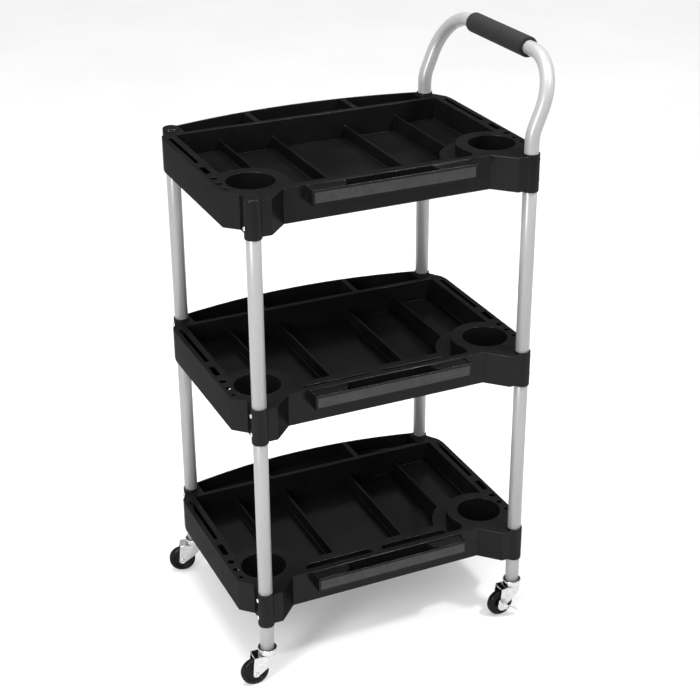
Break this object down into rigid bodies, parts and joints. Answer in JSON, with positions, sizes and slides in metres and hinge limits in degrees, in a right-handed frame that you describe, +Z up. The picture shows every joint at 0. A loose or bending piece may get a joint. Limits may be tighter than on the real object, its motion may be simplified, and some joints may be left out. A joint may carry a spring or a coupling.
{
  "type": "tool cart",
  "caption": "Rolling utility cart with stacked moulded trays on tube posts, divided bays and cup holders, a bent push handle with a foam grip and swivel casters",
  "frame": {"origin": "On the floor under the middle of the bounding box", "axes": "+X points to the end with the push handle, +Y to the bowed back of the trays, +Z up"},
  "size_m": [0.6252, 0.4664, 1.1052],
  "materials": {
    "black_plastic": "satin moulded",
    "silver_paint": "satin silver",
    "bright_metal": "bright plated",
    "soft_foam": "soft matte foam",
    "wheel_black": "satin"
  },
  "bodies": {
    "cart": {"bottom_tray": "black_plastic", "bottom_tray_screw_back_left": "bright_metal", "bottom_tray_screw_back_right": "bright_metal", "bottom_tray_screw_front_left": "bright_metal", "bottom_tray_screw_front_right": "bright_metal", "caster_bush_back_left": "black_plastic", "caster_bush_back_right": "black_plastic", "caster_bush_front_left": "black_plastic", "caster_bush_front_right": "black_plastic", "caster_cup_back_left": "bright_metal", "caster_cup_back_right": "bright_metal", "caster_cup_front_left": "bright_metal", "caster_cup_front_right": "bright_metal", "caster_stem_back_left": "bright_metal", "caster_stem_back_right": "bright_metal", "caster_stem_front_left": "bright_metal", "caster_stem_front_right": "bright_metal", "handle_grip": "soft_foam", "handle_tube": "silver_paint", "leg_tube_back_left": "silver_paint", "leg_tube_back_right": "silver_paint", "leg_tube_front_left": "silver_paint", "leg_tube_front_right": "silver_paint", "lower_post_back_left": "silver_paint", "lower_post_back_right": "silver_paint", "lower_post_front_left": "silver_paint", "lower_post_front_right": "silver_paint", "middle_tray": "black_plastic", "middle_tray_screw_back_left": "bright_metal", "middle_tray_screw_back_right": "bright_metal", "middle_tray_screw_front_left": "bright_metal", "middle_tray_screw_front_right": "bright_metal", "top_tray": "black_plastic", "top_tray_screw_back_left": "bright_metal", "top_tray_screw_back_right": "bright_metal", "top_tray_screw_front_left": "bright_metal", "top_tray_screw_front_right": "bright_metal", "upper_post_back_left": "silver_paint", "upper_post_back_right": "silver_paint", "upper_post_front_left": "silver_paint", "upper_post_front_right": "silver_paint"},
    "caster_swivel_front_left": {"caster_fork_front_left": "bright_metal", "caster_axle_front_left": "bright_metal"},
    "caster_wheel_front_left": {"caster_wheel_front_left": "wheel_black"},
    "caster_swivel_front_right": {"caster_fork_front_right": "bright_metal", "caster_axle_front_right": "bright_metal"},
    "caster_wheel_front_right": {"caster_wheel_front_right": "wheel_black"},
    "brake_lever_front_right": {"brake_lever_front_right": "bright_metal"},
    "caster_swivel_back_left": {"caster_fork_back_left": "bright_metal", "caster_axle_back_left": "bright_metal"},
    "caster_wheel_back_left": {"caster_wheel_back_left": "wheel_black"},
    "caster_swivel_back_right": {"caster_fork_back_right": "bright_metal", "caster_axle_back_right": "bright_metal"},
    "caster_wheel_back_right": {"caster_wheel_back_right": "wheel_black"},
    "brake_lever_back_right": {"brake_lever_back_right": "bright_metal"}
  },
  "joints": [
    {"name": "swivel_front_left", "type": "hinge", "parent": "cart", "child": "caster_swivel_front_left", "pos_m": [-0.26092, -0.20808, 0.06], "axis": [0, 0, 1], "continuous": true},
    {"name": "wheel_spin_front_left", "type": "hinge", "parent": "caster_swivel_front_left", "child": "caster_wheel_front_left", "pos_m": [-0.28639, -0.20697, 0.026], "axis": [-0.0436, -0.999, 0], "continuous": true},
    {"name": "swivel_front_right", "type": "hinge", "parent": "cart", "child": "caster_swivel_front_right", "pos_m": [0.24708, -0.20808, 0.06], "axis": [0, 0, 1], "continuous": true},
    {"name": "wheel_spin_front_right", "type": "hinge", "parent": "caster_swivel_front_right", "child": "caster_wheel_front_right", "pos_m": [0.2216, -0.20897, 0.026], "axis": [0.0349, -0.9994, 0], "continuous": true},
    {"name": "brake_front_right", "type": "hinge", "parent": "caster_swivel_front_right", "child": "brake_lever_front_right", "pos_m": [0.2216, -0.20897, 0.026], "axis": [0.0349, -0.9994, 0], "range_deg": [0, 25]},
    {"name": "swivel_back_left", "type": "hinge", "parent": "cart", "child": "caster_swivel_back_left", "pos_m": [-0.26092, 0.18852, 0.06], "axis": [0, 0, 1], "continuous": true},
    {"name": "wheel_spin_back_left", "type": "hinge", "parent": "caster_swivel_back_left", "child": "caster_wheel_back_left", "pos_m": [-0.28543, 0.19555, 0.026], "axis": [-0.2756, -0.9613, 0], "continuous": true},
    {"name": "swivel_back_right", "type": "hinge", "parent": "cart", "child": "caster_swivel_back_right", "pos_m": [0.24708, 0.18852, 0.06], "axis": [0, 0, 1], "continuous": true},
    {"name": "wheel_spin_back_right", "type": "hinge", "parent": "caster_swivel_back_right", "child": "caster_wheel_back_right", "pos_m": [0.22161, 0.18963, 0.026], "axis": [-0.0436, -0.999, 0], "continuous": true},
    {"name": "brake_back_right", "type": "hinge", "parent": "caster_swivel_back_right", "child": "brake_lever_back_right", "pos_m": [0.22161, 0.18963, 0.026], "axis": [-0.0436, -0.999, 0], "range_deg": [0, 25]}
  ]
}
